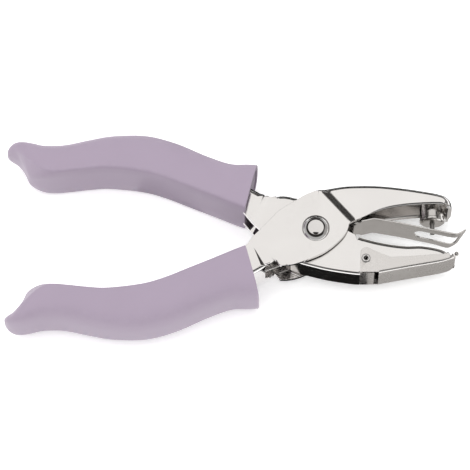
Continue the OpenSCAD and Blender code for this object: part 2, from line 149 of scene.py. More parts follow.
def metal(name, look):
    mat = bpy.data.materials.new(name)
    mat.use_nodes = True
    tree = mat.node_tree
    shader = tree.nodes["Principled BSDF"]
    marks = addNode(tree, "ShaderNodeGroup", node_tree=handledMetal)
    marks.inputs["Smear Scale"].default_value = look["smearScale"]
    marks.inputs["Line Scale"].default_value = look["lineScale"]
    marks.inputs["Stretch"].default_value = look["stretch"]
    wear = addNode(tree, "ShaderNodeGroup", node_tree=edgeWear)
    wear.inputs["Width"].default_value = look["wear"]
    tone = addNode(tree, "ShaderNodeMix", {"Factor": marks.outputs["Smears"]}, data_type="RGBA")
    tone.inputs["A"].default_value = (*look["dark"], 1)
    tone.inputs["B"].default_value = (*look["light"], 1)
    rubbed = addNode(tree, "ShaderNodeMix", {"Factor": wear.outputs["Mask"], "A": tone.outputs["Result"]},
                     data_type="RGBA")
    rubbed.inputs["B"].default_value = (*look["worn"], 1)
    tree.links.new(rubbed.outputs["Result"], shader.inputs["Base Color"])
    gloss = addNode(tree, "ShaderNodeMapRange", {"Value": marks.outputs["Smears"], "From Min": 0.3,
                                                 "From Max": 0.72,
                                                 "To Min": look["rough"][0], "To Max": look["rough"][1]})
    grain = addNode(tree, "ShaderNodeMath", {0: marks.outputs["Lines"], 1: look["lineRough"]},
                    operation="MULTIPLY")
    total = addNode(tree, "ShaderNodeMath", {0: gloss.outputs["Result"], 1: grain.outputs[0]},
                    operation="ADD")
    tree.links.new(total.outputs[0], shader.inputs["Roughness"])
    shader.inputs["Metallic"].default_value = 1.0
    bump = addNode(tree, "ShaderNodeBump", {"Height": marks.outputs["Height"], "Strength": look["bump"],
                                            "Distance": 0.00002})
    tree.links.new(bump.outputs["Normal"], shader.inputs["Normal"])
    return mat


finishes = {
    "leverChrome": {"dark": (0.80, 0.78, 0.765), "light": (0.90, 0.885, 0.87), "worn": (0.95, 0.94, 0.93),
                    "rough": (0.07, 0.15), "lineRough": 0.03, "bump": 0.05, "wear": 0.5,
                    "smearScale": 55.0, "lineScale": 500.0, "stretch": (1.0, 9.0, 1.0)},
    "rivetChrome": {"dark": (0.70, 0.685, 0.67), "light": (0.84, 0.82, 0.81), "worn": (0.92, 0.91, 0.9),
                    "rough": (0.04, 0.09), "lineRough": 0.02, "bump": 0.03, "wear": 0.4,
                    "smearScale": 160.0, "lineScale": 900.0, "stretch": (1.0, 1.0, 1.0)},
    "catcherNickel": {"dark": (0.70, 0.675, 0.655), "light": (0.79, 0.77, 0.75), "worn": (0.88, 0.86, 0.84),
                      "rough": (0.2, 0.28), "lineRough": 0.08, "bump": 0.14, "wear": 0.7,
                      "smearScale": 120.0, "lineScale": 800.0, "stretch": (1.0, 12.0, 3.0)},
    "springSteel": {"dark": (0.55, 0.53, 0.51), "light": (0.72, 0.70, 0.68), "worn": (0.88, 0.87, 0.85),
                    "rough": (0.16, 0.26), "lineRough": 0.08, "bump": 0.12, "wear": 0.8,
                    "smearScale": 140.0, "lineScale": 900.0, "stretch": (1.0, 10.0, 10.0)},
    "holderNickel": {"dark": (0.56, 0.54, 0.52), "light": (0.70, 0.68, 0.66), "worn": (0.85, 0.84, 0.82),
                     "rough": (0.12, 0.2), "lineRough": 0.06, "bump": 0.1, "wear": 0.6,
                     "smearScale": 200.0, "lineScale": 1200.0, "stretch": (1.0, 16.0, 1.0)},
    "darkSteel": {"dark": (0.20, 0.19, 0.18), "light": (0.33, 0.32, 0.31), "worn": (0.6, 0.59, 0.57),
                  "rough": (0.22, 0.34), "lineRough": 0.08, "bump": 0.12, "wear": 0.8,
                  "smearScale": 220.0, "lineScale": 1100.0, "stretch": (1.0, 8.0, 1.0)},
}
finish = {name: metal(name, look) for name, look in finishes.items()}

# the rubbed colour is partly rub wear and partly painted sheen on the convex edges and crease
vinylLook = {
    "shade": (0.315, 0.258, 0.33), "pale": (0.35, 0.288, 0.366), "rubbed": (0.42, 0.36, 0.44),
    "rough": (0.46, 0.6), "grainScale": 2300.0, "grainDepth": 0.00003, "grainStrength": 0.22,
    "mottleScale": 70.0, "wear": 0.55, "wearScale": 500.0, "specular": 0.38, "sheen": 0.12,
}


def softVinyl(look):
    # moulded vinyl: fine leathery grain, slow mottling, and a lighter colour on convex edges that is partly
    # rub wear and partly painted sheen
    mat = bpy.data.materials.new("softVinyl")
    mat.use_nodes = True
    tree = mat.node_tree
    shader = tree.nodes["Principled BSDF"]
    where = addNode(tree, "ShaderNodeTexCoord")
    mottle = addNode(tree, "ShaderNodeTexNoise", {"Vector": where.outputs["Object"],
                                                  "Scale": look["mottleScale"], "Detail": 5.0,
                                                  "Roughness": 0.6, "Distortion": 0.4})
    tone = addNode(tree, "ShaderNodeMix", {"Factor": mottle.outputs["Fac"]}, data_type="RGBA")
    tone.inputs["A"].default_value = (*look["shade"], 1)
    tone.inputs["B"].default_value = (*look["pale"], 1)
    wear = addNode(tree, "ShaderNodeGroup", node_tree=edgeWear)
    wear.inputs["Width"].default_value = look["wear"]
    wear.inputs["Scale"].default_value = look["wearScale"]
    # lighter colour on convex edges: rub wear plus a painted sheen
    rubbed = addNode(tree, "ShaderNodeMix", {"Factor": wear.outputs["Mask"], "A": tone.outputs["Result"]},
                     data_type="RGBA")
    rubbed.inputs["B"].default_value = (*look["rubbed"], 1)
    tree.links.new(rubbed.outputs["Result"], shader.inputs["Base Color"])
    gloss = addNode(tree, "ShaderNodeMapRange", {"Value": mottle.outputs["Fac"], "From Min": 0.3,
                                                 "From Max": 0.7,
                                                 "To Min": look["rough"][0], "To Max": look["rough"][1]})
    tree.links.new(gloss.outputs["Result"], shader.inputs["Roughness"])
    pebble = addNode(tree, "ShaderNodeTexVoronoi", {"Vector": where.outputs["Object"],
                                                    "Scale": look["grainScale"]},
                     feature="SMOOTH_F1")
    bump = addNode(tree, "ShaderNodeBump", {"Height": pebble.outputs["Distance"],
                                            "Strength": look["grainStrength"],
                                            "Distance": look["grainDepth"]})
    tree.links.new(bump.outputs["Normal"], shader.inputs["Normal"])
    shader.inputs["Specular IOR Level"].default_value = look["specular"]
    shader.inputs["Sheen Weight"].default_value = look["sheen"]
    return mat


finish["softVinyl"] = softVinyl(vinylLook)
print("finishes made:", ", ".join(finish))


# mesh helpers
def smoothLine(points, steps):
    # a curve through the points
    points = [Vector(p) for p in points]
    last = len(points) - 1
    line = []
    for i in range(last):
        a, b = points[max(i - 1, 0)], points[i]
        c, d = points[i + 1], points[min(i + 2, last)]
        for k in range(steps):
            t = k / steps
            line.append(0.5 * (2 * b + (c - a) * t + (2 * a - 5 * b + 4 * c - d) * t * t
                               + (3 * b - a - 3 * c + d) * t ** 3))
    return line + [points[last]]


def joinLines(*lines, gap=0.3):
    # one closed outline, points that crowd each other dropped but corners kept
    out = []
    for line in lines:
        for i, p in enumerate(line):
            p, isEnd = Vector(p), i in (0, len(line) - 1)
            if not out or (p - out[-1]).length > (0.1 if isEnd else gap):
                out.append(p)
            elif isEnd and i:
                out[-1] = p
    if (out[0] - out[-1]).length < 0.1:
        out.pop()
    return out


def settle(obj):
    # bake the modifiers into a plain mesh
    bpy.context.view_layer.update()
    graph = bpy.context.evaluated_depsgraph_get()
    mesh = bpy.data.meshes.new_from_object(obj.evaluated_get(graph), preserve_all_data_layers=True,
                                           depsgraph=graph)
    old = obj.data
    obj.modifiers.clear()
    obj.data = mesh
    bpy.data.meshes.remove(old)
    return obj


def pieceOf(name, bm, material, sharp=35.0):
    mesh = bpy.data.meshes.new(name)
    bm.to_mesh(mesh)
    bm.free()
    obj = bpy.data.objects.new(name, mesh)
    bpy.context.collection.objects.link(obj)
    mesh.materials.append(finish[material])
    mesh.shade_smooth()
    mesh.set_sharp_from_angle(angle=math.radians(sharp))
    return obj


def softenEdges(obj, width, segments=2, angle=40.0, reshape=None):
    # small round on the cut edges, with the flat faces kept flat
    bevel = obj.modifiers.new("edge", "BEVEL")
    bevel.width = width * mm
    bevel.segments = segments
    bevel.limit_method = "ANGLE"
    bevel.angle_limit = math.radians(angle)
    bevel.use_clamp_overlap = False
    bevel.miter_outer = "MITER_ARC"
    settle(obj)
    if reshape:
        reshape(obj)
    obj.data.set_sharp_from_angle(angle=math.radians(25))
    flat = obj.modifiers.new("flat", "WEIGHTED_NORMAL")
    flat.mode = "FACE_AREA"
    flat.weight = 100
    flat.keep_sharp = True
    return settle(obj)


def inwardAt(outline, i):
    # direction into a counter-clockwise outline at one of its points
    a, b = outline[i - 1], outline[(i + 1) % len(outline)]
    way = (b - a).normalized()
    return Vector((-way.y, way.x))


def ringLoop(bm, centre, radius, z, count=40):
    turn = 2 * math.pi / count
    return [bm.verts.new((centre[0] + radius * math.cos(k * turn),
                          centre[1] + radius * math.sin(k * turn), z))
            for k in range(count)]


def fillLoops(bm, loops):
    # flat face between an outline and its holes
    edges = []
    for loop in loops:
        for i, v in enumerate(loop):
            edges.append(bm.edges.new((v, loop[(i + 1) % len(loop)])))
    bmesh.ops.triangle_fill(bm, edges=edges, use_beauty=True, use_dissolve=False)


def cutAcross(bm, point, normal):
    bmesh.ops.bisect_plane(bm, geom=bm.verts[:] + bm.edges[:] + bm.faces[:], dist=0.001 * mm,
                           plane_co=point, plane_no=normal)


def narrowSheet(look, cuts, heightAt):
    # returns a step that draws the side plates in to the half width asked for at each point
    def reshape(obj):
        bm = bmesh.new()
        bm.from_mesh(obj.data)
        for point, way in cuts:
            cutAcross(bm, place(point[0], point[1], 0), (way[0], way[1], 0))
        for v in bm.verts:
            x, y, z = (v.co - pivotAt) / mm
            share = min(1.0, abs(z) / (look["half"] - look["sheet"] - 0.5))
            z -= math.copysign((look["half"] - heightAt(x, y)) * share, z)
            v.co = place(x, y, z)
        bm.to_mesh(obj.data)
        bm.free()
    return reshape


def foldedSheet(name, look, outline, foldAt, material, holes=(), cuts=(), heightAt=None, rollAt=None):
    # a pressed sheet part: two side plates joined by a folded back wherever foldAt gives a radius
    half, arc = look["half"], look.get("arc", 6)
    if sum(a.x * b.y - b.x * a.y for a, b in zip(outline, outline[1:] + outline[:1])) < 0:
        outline = outline[::-1]
    folds = [foldAt(p) for p in outline]
    rolls = [rollAt(p) if rollAt and not fold else 0.0 for p, fold in zip(outline, folds)]
    turns = [max(fold, roll) for fold, roll in zip(folds, rolls)]
    bm = bmesh.new()
    rings = {}
    for side in (1, -1):
        ring = [bm.verts.new((*(p + inwardAt(outline, i) * turns[i]), side * half)) for i,
                p in enumerate(outline)]
        fillLoops(bm, [ring] + [ringLoop(bm, centre, radius, side * half) for centre, radius in holes])
        rings[side] = ring
    columns = []
    for i, p in enumerate(outline):
        r, column = turns[i], []
        if r > 0:
            for side in (1, -1):
                part = [rings[side][i]]
                for k in range(1, arc + 1):
                    a = math.pi / 2 * k / arc
                    part.append(bm.verts.new((*(p + inwardAt(outline, i) * r * (1 - math.sin(a))),
                                              side * (half - r + r * math.cos(a)))))
                column = column + (part if side == 1 else part[::-1])
        columns.append(column)
    for i, left in enumerate(columns):
        right = columns[(i + 1) % len(columns)]
        if left and right:
            isOpen = not (folds[i] and folds[(i + 1) % len(columns)])
            for k in range(len(left) - 1):
                if k != arc or not isOpen:
                    bm.faces.new((left[k], left[k + 1], right[k + 1], right[k]))
    bmesh.ops.remove_doubles(bm, verts=bm.verts, dist=look["merge"])
    bmesh.ops.recalc_face_normals(bm, faces=bm.faces)
    top = max(bm.faces, key=lambda f: f.calc_center_median().z)
    if top.normal.z < 0:
        bmesh.ops.reverse_faces(bm, faces=bm.faces)
    for v in bm.verts:
        v.co = place(*v.co)
    obj = pieceOf(name, bm, material)
    wall = obj.modifiers.new("wall", "SOLIDIFY")
    wall.thickness = look["sheet"] * mm
    wall.offset = -1.0
    wall.use_even_offset = False
    return softenEdges(obj, look["edge"], reshape=narrowSheet(look, cuts, heightAt) if heightAt else None)


def lathe(name, profile, material, at, axis, segments=72, closed=True):
    # turn a profile of (radius, height) round an axis that starts at a point
    bm = bmesh.new()
    turn = Vector((0, 0, 1)).rotation_difference(Vector(axis)).to_matrix()
    rings = []
    for radius, height in profile:
        if radius < 0.0005:
            rings.append([bm.verts.new(place(*(Vector(at) + turn @ Vector((0, 0, height)))))])
            continue
        ring = []
        for k in range(segments):
            a = 2 * math.pi * k / segments
            ring.append(bm.verts.new(place(*(Vector(at) + turn @ Vector((radius * math.cos(a),
                                                                         radius * math.sin(a),
                                                                         height))))))
        rings.append(ring)
    pairs = list(zip(rings, rings[1:])) + ([(rings[-1], rings[0])] if closed and len(rings[0]) > 1 else [])
    for low, high in pairs:
        for k in range(segments):
            j = (k + 1) % segments
            if len(low) == 1 and len(high) > 1:
                bm.faces.new((low[0], high[j], high[k]))
            elif len(high) == 1 and len(low) > 1:
                bm.faces.new((low[k], low[j], high[0]))
            elif len(low) > 1 and len(high) > 1:
                bm.faces.new((low[k], low[j], high[j], high[k]))
    bmesh.ops.recalc_face_normals(bm, faces=bm.faces)
    return pieceOf(name, bm, material, sharp=38.0)


def boreAcross(obj, at, axis, radius):
    # a round hole through a folded sheet
    tool = lathe("boreTool", [(0.0, -3.0), (radius, -3.0), (radius, 3.0), (0.0, 3.0)], "leverChrome", at,
                 axis.normalized(), segments=64, closed=False)
    cut = obj.modifiers.new("bore", "BOOLEAN")
    cut.object = tool
    cut.operation = "DIFFERENCE"
    cut.solver = "EXACT"
    settle(obj).data.set_sharp_from_angle(angle=math.radians(25))
    bpy.data.objects.remove(tool, do_unlink=True)


def roundCorners(profile, radius, steps=4):
    # small rounds where a turned profile changes direction
    out = [profile[0]]
    for before, at, after in zip(profile, profile[1:], profile[2:]):
        a, b, c = Vector(before), Vector(at), Vector(after)
        room = min(radius, (a - b).length * 0.45, (c - b).length * 0.45)
        start, end = b + (a - b).normalized() * room, b + (c - b).normalized() * room
        for k in range(steps + 1):
            t = k / steps
            out.append(tuple(start * (1 - t) ** 2 + b * 2 * t * (1 - t) + end * t * t))
    return out + [profile[-1]]


def finishPiece(obj, body, slot, *nodes):
    if nodes:
        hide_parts(*nodes)
    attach(obj, body)
    print("made", obj.name, "with", len(obj.data.polygons), "faces")
    return obj


# outlines shared by the levers, in millimetres from the pivot
tangInner = [(-88, -23.6), (-80, -24), (-69, -24.6), (-58, -23.4), (-50.4, -21.2), (-42, -17.8),
             (-33.7, -14.2),
             (-28, -10.6), (-24.6, -7.4), (-21.3, -3.2), (-18.9, -0.7)]
tangOuter = [(-15, -12.1), (-20.8, -15.7), (-28, -19.6), (-36, -23.2), (-46.5, -28), (-56.5, -30.8),
             (-67.5, -30.6), (-75.5, -29.2), (-83.7, -27.6), (-88, -27.2)]


def isOn(line, p, reach=0.3):
    # whether a point lies on a smoothed line
    return min((q - p).length for q in line) < reach


outerLook = {"half": 7.4, "sheet": 1.3, "edge": 0.12, "merge": 0.14, "fold": 1.6, "roll": 0.8,
             "jawHalf": 6.5, "stepWidth": 3.1,
             "noseRadius": 3.2, "neckHalf": 6.95, "neckWidth": 2.2,
             "backFrom": -16, "roofFrom": 0.7, "rollSpan": (15, 43.5), "rollOver": 6, "roofX": 39.1,
             "roofY": 12.8, "roofRadius": 2.25}
tangEnd = -87
stepTop, stepLow = Vector((2.6, 14.2)), Vector((12.6, 2.5))
neckTop, neckLow = Vector((-21.4, -3.7)), Vector((-14.8, -9.6))
upperTop = [(0.5, 13.6), (3.4, 14.6), (7, 15.3), (10.6, 15.8), (16.6, 15.95), (22.6, 15.7), (30, 14.8),
            (36, 13.8),
            (40.5, 12.9), (43.5, 11.9), (45.1, 10.6), (45.6, 9.4), (45.6, 7.9)]
upperLow = [(45.6, 7.9), (43.5, 8.55), (40.5, 8.9), (34.5, 8.75), (28.5, 8.2), (22.6, 7), (16.6, 4.6),
            (13.1, 3),
            (11.1, 1.65)]
plateTop = [(-18.9, -0.7), (-15.6, 2.8), (-12.2, 6.4), (-7.6, 9.4), (-3.2, 12.1), (0.5, 13.6)]
plateLow = [(11.1, 1.65), (10.6, -0.4), (9, -3.1), (5.7, -6.4), (1.9, -9.1), (-3.2, -11.3), (-7.1, -12.7),
            (-10.9, -13.2), (-12.2, -12.9), (-13.5, -11.2), (-15, -12.1)]


def across(top, low):
    # unit vector square to a line, towards the jaws
    way = (low - top).normalized()
    side = Vector((-way.y, way.x))
    return side if side.x > 0 else -side


def smooth(t):
    t = min(max(t, 0.0), 1.0)
    return t * t * (3 - 2 * t)


def ramp(t):
    # straight slope with short rounds at both ends
    t = min(max(t, 0.0), 1.0)
    return t + math.sin(2 * math.pi * t) * -0.05


def noseRound(x, end, radius, half):
    # share of the half width that is left where a nose is rounded in plan
    past = min(max((x - (end - radius)) / radius, 0.0), 0.985)
    return (half - radius + radius * math.sqrt(1 - past * past)) / half


def noseCuts(end, radius):
    return [((end - radius + radius * math.sin(math.radians(a)), 0), (1, 0)) for a in range(0, 90, 12)]


def bendCuts(top, low, width, count):
    return [(top + across(top, low) * width * (k / count - 0.5), across(top, low)) for k in range(count + 1)]


def outerHeight(x, y):
    at = Vector((x, y))
    jaw = ramp(0.5 + (at - stepTop).dot(across(stepTop, stepLow)) / outerLook["stepWidth"])
    neck = smooth(0.5
                  - (at - neckTop).dot(across(neckTop, neckLow)) / outerLook["neckWidth"]) if x < -8 else 0.0
    half = (outerLook["half"] - jaw * (outerLook["half"] - outerLook["jawHalf"])
            - neck * (outerLook["half"] - outerLook["neckHalf"]))
    return half * noseRound(x, 45.6, outerLook["noseRadius"], half)


def fadeIn(radius, past, over=2.6, least=0.35):
    # a fold starts small at its end and opens up to its full radius
    return least + (radius - least) * smooth(past / over)


def outerFold(p):
    # the handle's back and the jaw's roof and nose are folded, the rest is cut sheet
    backFrom, roofFrom = outerLook["backFrom"], outerLook["roofFrom"]
    if p.x < backFrom and isOn(tangOutFine, p, 0.4):
        return fadeIn(outerLook["fold"], backFrom - p.x) if p.x > tangEnd else 0.0
    if p.x > roofFrom and isOn(roofFine, p):
        return fadeIn(outerLook["fold"], p.x - roofFrom)
    return 0.0


def outerRoll(p):
    # the mouth edge of the upper jaw is turned in a little
    start, end = outerLook["rollSpan"]
    if start < p.x < end and isOn(mouthFine, p):
        return outerLook["roll"] * smooth((p.x - start) / outerLook["rollOver"])
    return 0.0


tangOutFine = smoothLine(tangOuter, 5)
mouthFine = smoothLine(upperLow, 4)
roofFine = smoothLine(upperTop, 5)
outerOutline = joinLines(smoothLine(tangInner, 4), smoothLine(plateTop, 4), smoothLine(upperTop, 5),
                         smoothLine(upperLow, 4), smoothLine(plateLow, 4), smoothLine(tangOuter, 5))
outerCuts = (bendCuts(stepTop, stepLow, outerLook["stepWidth"], 12)
             + bendCuts(neckTop, neckLow, outerLook["neckWidth"], 8)
             + noseCuts(45.6, outerLook["noseRadius"]))
outerLever = foldedSheet("outer_lever_sheet", outerLook, outerOutline, outerFold, "leverChrome",
                         holes=[((0, 0), 2.65)], cuts=outerCuts, heightAt=outerHeight, rollAt=outerRoll)
boreAcross(outerLever, Vector((outerLook["roofX"], outerLook["roofY"], 0)), Vector((0, 1, 0)),
           outerLook["roofRadius"])
finishPiece(outerLever, "outer_arm", "lever_chrome", "outer_lever")


innerLook = {"half": 5.3, "sheet": 1.3, "edge": 0.12, "merge": 0.14, "fold": 0.9, "backFold": 2.5,
             "jawFold": 1.9,
             "backFrom": -15.8, "humpRoll": 1.7, "dieX": 38.75, "dieY": -5.35, "dieRadius": 2.25}
lowerTop = [(10.4, 0), (13.2, -1.5), (19, -3.4), (25, -4.7), (30, -5.3), (34.5, -5.25), (37, -5.55),
            (40.5, -6.25),
            (43, -7.3), (44.3, -8.5), (44.4, -9.4)]
lowerLow = [(44.4, -9.4), (41.4, -10.5), (34.5, -11.6), (20.4, -13.9), (15, -14.4)]
heelLow = [(15, -14.4), (14.6, -15.6), (11.1, -15.35), (3.8, -14.1), (-2, -12.6), (-5.3, -11.6),
           (-8.4, -10.2)]
hubLeft = [(-8.4, -10.2), (-12, -6.4), (-15.5, -2.6), (-18.9, 0.7)]
hubTop = [(-15, 12.1), (-13.2, 12.4), (-11.5, 12.9), (-8.9, 12.7), (-6.8, 12.1), (-3.2, 11), (0, 10),
          (4, 7.8),
          (7, 5), (9.3, 1.9), (10.4, 0)]
dieFine = smoothLine(lowerTop, 4)
heelFine = smoothLine(heelLow, 5)
backFine = [Vector((p.x, -p.y)) for p in tangOutFine]


def innerFold(p):
    # the handle's back, the die plate and the heel are folded
    if tangEnd < p.x < innerLook["backFrom"] and isOn(backFine, p, 0.4):
        return fadeIn(innerLook["backFold"], innerLook["backFrom"] - p.x)
    if p.x > 13.5 and p.y > -7.6 and isOn(dieFine, p):
        return innerLook["jawFold"]
    if p.x < 14.75 and p.y < -9.9 and isOn(heelFine, p):
        return innerLook["fold"]
    return 0.0


def innerRoll(p):
    # the hump beside the upper handle is turned in along its edge
    if -13.6 < p.x < -4.5 and p.y > 11:
        turn = innerLook["humpRoll"] * smooth((p.x + 13.6) / 1.5) * smooth((-4.5 - p.x) / 2.5)
        return turn if turn > 0.3 else 0.0
    return 0.0


innerOutline = joinLines(dieFine, lowerLow, heelFine, hubLeft,
                         [(p.x, -p.y) for p in smoothLine(tangInner, 4)][::-1],
                         [(p.x, -p.y) for p in tangOutFine][::-1], smoothLine(hubTop, 4))
hingeAt = ((catcherAt - pivotAt) / mm).to_2d()
innerLever = foldedSheet("inner_lever_sheet", innerLook, innerOutline, innerFold, "leverChrome",
                         holes=[((0, 0), 2.6), (hingeAt, 1.1)], rollAt=innerRoll)

dieAt = Vector((innerLook["dieX"], innerLook["dieY"], 0))
boreAcross(innerLever, dieAt, Vector((-dieAt.y, dieAt.x, 0)), innerLook["dieRadius"])
finishPiece(innerLever, "inner_arm", "lever_chrome", "inner_lever")

catcherLook = {"half": 5.95, "sheet": 0.5, "edge": 0.07, "merge": 0.09, "fold": 0.8, "noseRadius": 2.6,
               "arc": 5}
earTop = [(14.7, -8.6), (15.1, -7.2), (16.2, -6.4), (17.5, -6.6), (19.1, -7.5)]
catcherTop = [(19.1, -7.5), (24.7, -9.9), (34.4, -9.4), (40.5, -8.95), (43.2, -8.75), (46.4, -9.1)]
catcherFloor = [(46.4, -9.1), (45.9, -9.8), (44.6, -10.6), (41.3, -11.6), (36.4, -12.5), (30, -13.6),
                (20.7, -15.35)]
floorFine = smoothLine(catcherFloor, 4)


def catcherFold(p):
    if p.x < 20.6 or p.y > -9.05 or not isOn(floorFine, p):
        return 0.0
    return catcherLook["fold"]


def catcherHeight(x, y):
    return catcherLook["half"] * noseRound(x, 46.4, catcherLook["noseRadius"], catcherLook["half"])


catcherOutline = joinLines(smoothLine(earTop, 5), catcherTop, floorFine, [(20.7, -15.05), (14.7, -15.1)])
chipCatcher = foldedSheet("chip_catcher_sheet", catcherLook, catcherOutline, catcherFold, "catcherNickel",
                          holes=[(hingeAt, 1.15)], cuts=noseCuts(46.4, catcherLook["noseRadius"]),
                          heightAt=catcherHeight)
finishPiece(chipCatcher, "catcher", "catcher_nickel", "chip_catcher")
print("pressed sheet parts made")


# rivet, holder and pin: turned parts
rivetLook = {"seat": 7.42, "radius": 4.55, "height": 2.0, "flatness": 3.8, "backRadius": 4.15,
             "backHeight": 1.4, "shank": 2.6}


def domeProfile(look):
    dome = []
    for k in range(25):
        a = math.pi / 2 * k / 24
        reach = math.cos(a) if k < 24 else 0.0
        dome.append((look["radius"] * reach, look["seat"] + 0.12 + (look["height"] - 0.07)
                     * (1 - reach ** look["flatness"])))
    return dome


dome = domeProfile(rivetLook)
seat, back = rivetLook["seat"], -rivetLook["seat"]
backEnd = back - rivetLook["backHeight"]
rivetProfile = ([(0.0, backEnd), (2.2, backEnd), (2.4, backEnd + 0.12),
                 (rivetLook["backRadius"] - 0.45, backEnd),
                 (rivetLook["backRadius"] - 0.12, backEnd + 0.14), (rivetLook["backRadius"], backEnd + 0.45),
                 (rivetLook["backRadius"], back), (rivetLook["shank"], back), (rivetLook["shank"], seat),
                 (rivetLook["radius"] - 0.1, seat), (rivetLook["radius"] + 0.02, seat + 0.06)] + dome)
pivotRivet = lathe("pivot_rivet_turned", rivetProfile, "rivetChrome", (0, 0, 0), (0, 0, 1), segments=96,
                   closed=False)
finishPiece(pivotRivet, "inner_arm", "rivet_chrome", "pivot_rivet")

punchLook = {"x": 39.1, "low": 4.2, "top": 10.58, "radius": 4.2, "stub": 2.2, "roof": 13.38, "bore": 0.82,
             "screwBore": 1.5, "pin": 0.8, "tip": 0.5, "headLow": 8.2, "headTop": 9.5}
holderOuter = [(punchLook["bore"], punchLook["low"] + 0.3), (punchLook["bore"] + 0.3, punchLook["low"]),
               (punchLook["radius"] - 0.75, punchLook["low"]), (punchLook["radius"], punchLook["low"] + 0.55),
               (punchLook["radius"], punchLook["low"] + 1.35),
               (punchLook["radius"] - 0.12, punchLook["low"] + 1.45),
               (punchLook["radius"] - 0.12, punchLook["top"]), (punchLook["stub"], punchLook["top"]),
               (punchLook["stub"], punchLook["roof"] - 0.25), (punchLook["stub"] - 0.25, punchLook["roof"]),
               (punchLook["screwBore"] + 0.12, punchLook["roof"]),
               (punchLook["screwBore"], punchLook["roof"] - 0.15),
               (punchLook["screwBore"], punchLook["headLow"]),
               (punchLook["bore"], punchLook["headLow"])]
punchHolder = lathe("punch_holder_turned", roundCorners(holderOuter, 0.22), "holderNickel",
                    (punchLook["x"], 0, 0),
                    (0, 1, 0), segments=96)
finishPiece(punchHolder, "outer_arm", "holder_nickel", "punch_holder")

pinProfile = [(0.0, punchLook["tip"] + 0.16), (punchLook["pin"] - 0.18, punchLook["tip"] + 0.06),
              (punchLook["pin"] - 0.03, punchLook["tip"]), (punchLook["pin"], punchLook["tip"] + 0.05),
              (punchLook["pin"], punchLook["headLow"]), (1.4, punchLook["headLow"]),
              (1.44, punchLook["headLow"] + 0.06),
              (1.44, punchLook["headTop"] - 0.1), (1.34, punchLook["headTop"]), (0.0, punchLook["headTop"])]
punchPin = lathe("punch_pin_ground", pinProfile, "darkSteel", (punchLook["x"], 0, 0), (0, 1, 0), segments=48,
                 closed=False)
finishPiece(punchPin, "outer_arm", "steel_dark", "punch_pin")

# stripper strip
stripLook = {"thick": 0.5, "half": 6.0, "rootHalf": 4.85, "wideFrom": 14.8, "slotHalf": 3.0, "slotFrom": 36.0,
             "slotTo": 48.0, "edge": 0.07, "lipSkew": 1.3, "lipFrom": 38, "lipOver": 10, "corner": 0.9,
             "slotCorner": 0.5}
stripPath = [(13.4, 2.74), (16, 3.1), (18.4, 3.65), (20, 3.75), (22.5, 3.3), (28, 2.25), (35, 0.65),
             (40.5, -0.6),
             (45.4, -1.7), (46.9, -1.6), (48.2, -0.95), (49.47, -0.1)]
knuckleAt = Vector((13.4, 3.65))


def stripLine(look):
    # curled round its pin, then out along the path
    radius = (Vector(stripPath[0]) - knuckleAt).length
    curl = [knuckleAt + radius * Vector((math.cos(math.radians(a)), math.sin(math.radians(a))))
            for a in range(-370, -90, 12)]
    return curl + smoothLine(stripPath, 8)


def makeStrip(look):
    line = []
    for p in stripLine(look):
        if not line or (p - line[-1]).length > 0.03:
            line.append(p)
    lengths = [0.0]
    for a, b in zip(line, line[1:]):
        lengths.append(lengths[-1] + (b - a).length)
    total = lengths[-1]

    def alongX(x):
        # distance along the strip at which it reaches x on its way out
        for i in range(len(line) - 1, 0, -1):
            if line[i - 1].x <= x <= line[i].x:
                return lengths[i - 1] + (lengths[i] - lengths[i - 1]) * (x - line[i - 1].x) / (line[i].x
                        - line[i - 1].x)
        return total
    wide, slotIn, slotOut = alongX(look["wideFrom"]), alongX(look["slotFrom"]), alongX(look["slotTo"])
    bm = bmesh.new()
    corner, slotCorner = look["corner"], look["slotCorner"]
    edge = [(0.0, look["rootHalf"]), (wide - 0.5, look["rootHalf"]), (wide, look["rootHalf"] + 0.35),
            (wide + 0.6, look["half"])]
    edge += [(total - corner + corner * math.sin(math.radians(a)),
              look["half"] - corner + corner * math.cos(math.radians(a)))
             for a in range(0, 91, 15)]
    flat = [(s, z) for s, z in edge] + [(s, -z) for s, z in edge[::-1]]
    slot = [(slotOut - slotCorner, look["slotHalf"]), (slotIn, look["slotHalf"])]
    slot += [(slotIn - look["slotHalf"] * math.sin(math.radians(a)),
              look["slotHalf"] * math.cos(math.radians(a)))
             for a in range(10, 171, 10)]
    slot += [(slotIn, -look["slotHalf"]), (slotOut - slotCorner, -look["slotHalf"]),
             (slotOut, -look["slotHalf"] + slotCorner), (slotOut, look["slotHalf"] - slotCorner)]
    fillLoops(bm, [[bm.verts.new((s, z, 0)) for s, z in flat], [bm.verts.new((s, z, 0)) for s, z in slot]])
    for s in lengths[1:-1]:
        cutAcross(bm, (s, 0, 0), (1, 0, 0))
    for v in bm.verts:
        s, z = v.co.x, v.co.y
        i = min(max(k for k in range(len(lengths)) if lengths[k] <= s + 0.0001), len(line) - 2)
        p = line[i] + (line[i + 1] - line[i]) * (s - lengths[i]) / (lengths[i + 1] - lengths[i])
        slant = look["lipSkew"] * smooth((p.x - look["lipFrom"]) / look["lipOver"]) * (z / look["half"] - 0.5)
        v.co = place(p.x + slant, p.y, z)
    bmesh.ops.recalc_face_normals(bm, faces=bm.faces)
    obj = pieceOf("stripper_strip_sprung", bm, "springSteel")
    wall = obj.modifiers.new("wall", "SOLIDIFY")
    wall.thickness = look["thick"] * mm
    wall.offset = 0.0
    return softenEdges(obj, look["edge"])


finishPiece(makeStrip(stripLook), "stripper", "spring_steel", "stripper_strip")

